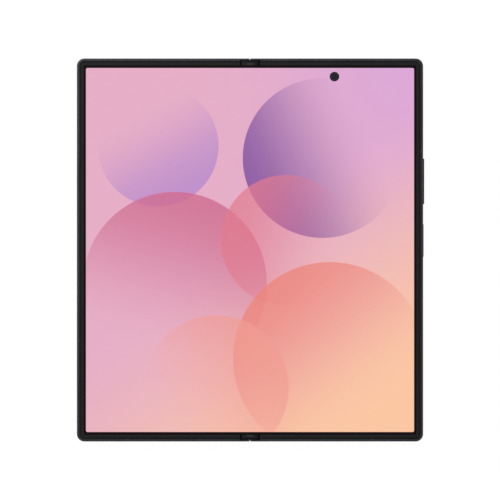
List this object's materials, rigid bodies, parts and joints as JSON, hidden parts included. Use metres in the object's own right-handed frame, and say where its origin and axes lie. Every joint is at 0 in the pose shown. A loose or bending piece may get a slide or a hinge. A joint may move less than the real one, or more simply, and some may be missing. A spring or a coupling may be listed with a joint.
{
  "type": "foldable smartphone",
  "caption": "Book-style foldable phone with a large inner screen that bends over a hidden geared hinge, shown opened flat.",
  "frame": {"origin": "on the table, at the height of the camera rings' lowest face, under the middle of the fold line", "axes": "+X to the side with the keys, +Y along the fold to the top edge, +Z out of the opened screen"},
  "size_m": [0.1436, 0.1584, 0.0068],
  "materials": {
    "dark_aluminium": "anodised dark grey, satin",
    "dark_plastic": "matt dark grey",
    "black_glass": "gloss black",
    "display_glass": "lit display under a satin cover film",
    "lens_glass": "coated black lens",
    "flash_glass": "frosted",
    "steel": "fine brushed",
    "battery_foil": "matt film",
    "board_green": "solder mask",
    "copper": "enamelled copper"
  },
  "bodies": {
    "main_half": {"main_frame": "dark_aluminium", "main_antenna_breaks": "dark_plastic", "main_back_glass": "black_glass", "camera_island": "dark_aluminium", "camera_rings": "dark_aluminium", "camera_lenses": "lens_glass", "flash_window": "flash_glass", "rear_camera_modules": "dark_plastic", "main_bezel": "dark_plastic", "main_display": "display_glass", "inner_camera": "dark_plastic", "main_battery": "battery_foil", "charging_coil": "copper", "main_board": "board_green", "sub_board": "board_green", "usb_c_socket": "steel", "loudspeaker": "dark_plastic", "vibration_motor": "steel", "main_magnets": "steel", "key_switches": "dark_plastic", "main_hinge_arms": "steel", "main_arm_screws": "steel"},
    "side_key": {"side_key": "dark_aluminium"},
    "volume_key": {"volume_key": "dark_aluminium"},
    "main_wing": {"main_support_wing": "steel"},
    "spine": {"hinge_cover": "dark_aluminium", "hinge_end_caps": "dark_plastic", "hinge_bases": "steel", "hinge_base_screws": "steel", "cam_followers": "steel", "torque_springs": "steel", "flexible_display": "display_glass"},
    "main_idlers": {"main_idler_shafts": "steel"},
    "cover_idlers": {"cover_idler_shafts": "steel"},
    "cover_half": {"cover_frame": "dark_aluminium", "cover_antenna_breaks": "dark_plastic", "cover_glass": "black_glass", "cover_screen_panel": "black_glass", "cover_camera": "dark_plastic", "cover_bezel": "dark_plastic", "cover_display": "display_glass", "cover_battery": "battery_foil", "cover_board": "board_green", "earpiece_speaker": "dark_plastic", "cover_magnets": "steel", "cover_hinge_arms": "steel", "cover_arm_screws": "steel"},
    "cover_wing": {"cover_support_wing": "steel"},
    "card_tray": {"card_tray": "dark_aluminium"}
  },
  "joints": [
    {"name": "fold_main", "type": "hinge", "parent": "main_half", "child": "spine", "pos_m": [0.00137, 0, 0.00568], "axis": [0, 1, 0], "range_deg": [0, 90], "deforming": ["flexible_display"]},
    {"name": "fold_cover", "type": "hinge", "parent": "spine", "child": "cover_half", "pos_m": [-0.00137, 0, 0.00568], "axis": [0, 1, 0], "range_deg": [0, 90]},
    {"name": "main_idler_turn", "type": "hinge", "parent": "spine", "child": "main_idlers", "pos_m": [0.0007, 0, 0.00445], "axis": [0, 1, 0], "range_deg": [-1, 91]},
    {"name": "cover_idler_turn", "type": "hinge", "parent": "spine", "child": "cover_idlers", "pos_m": [-0.0007, 0, 0.00445], "axis": [0, 1, 0], "range_deg": [-91, 1]},
    {"name": "main_wing_tilt", "type": "hinge", "parent": "main_half", "child": "main_wing", "pos_m": [0.009, 0, 0.00575], "axis": [0, -1, 0], "range_deg": [0, 12.1]},
    {"name": "cover_wing_tilt", "type": "hinge", "parent": "cover_half", "child": "cover_wing", "pos_m": [-0.009, 0, 0.00575], "axis": [0, 1, 0], "range_deg": [0, 12.1]},
    {"name": "side_key_press", "type": "slide", "parent": "main_half", "child": "side_key", "axis": [-1, 0, 0], "range_m": [0, 0.0002], "stiffness_N_per_m": 1500, "springref_m": -0.0005},
    {"name": "volume_key_rock", "type": "hinge", "parent": "main_half", "child": "volume_key", "pos_m": [0.0706, 0.0284, 0.0047], "axis": [0, 0, 1], "range_deg": [-1.2, 1.2], "stiffness_Nm_per_rad": 0.5},
    {"name": "card_tray_slide", "type": "slide", "parent": "cover_half", "child": "card_tray", "axis": [-1, 0, 0], "range_m": [0, 0.022]}
  ],
  "couplings": [
    {"joint": "fold_cover", "follows": "fold_main", "ratio": 1},
    {"joint": "main_idler_turn", "follows": "fold_main", "ratio": 1},
    {"joint": "cover_idler_turn", "follows": "fold_main", "ratio": -1},
    {"joint": "main_wing_tilt", "follows": "fold_main", "ratio": 0.13333},
    {"joint": "cover_wing_tilt", "follows": "fold_main", "ratio": 0.13333}
  ]
}
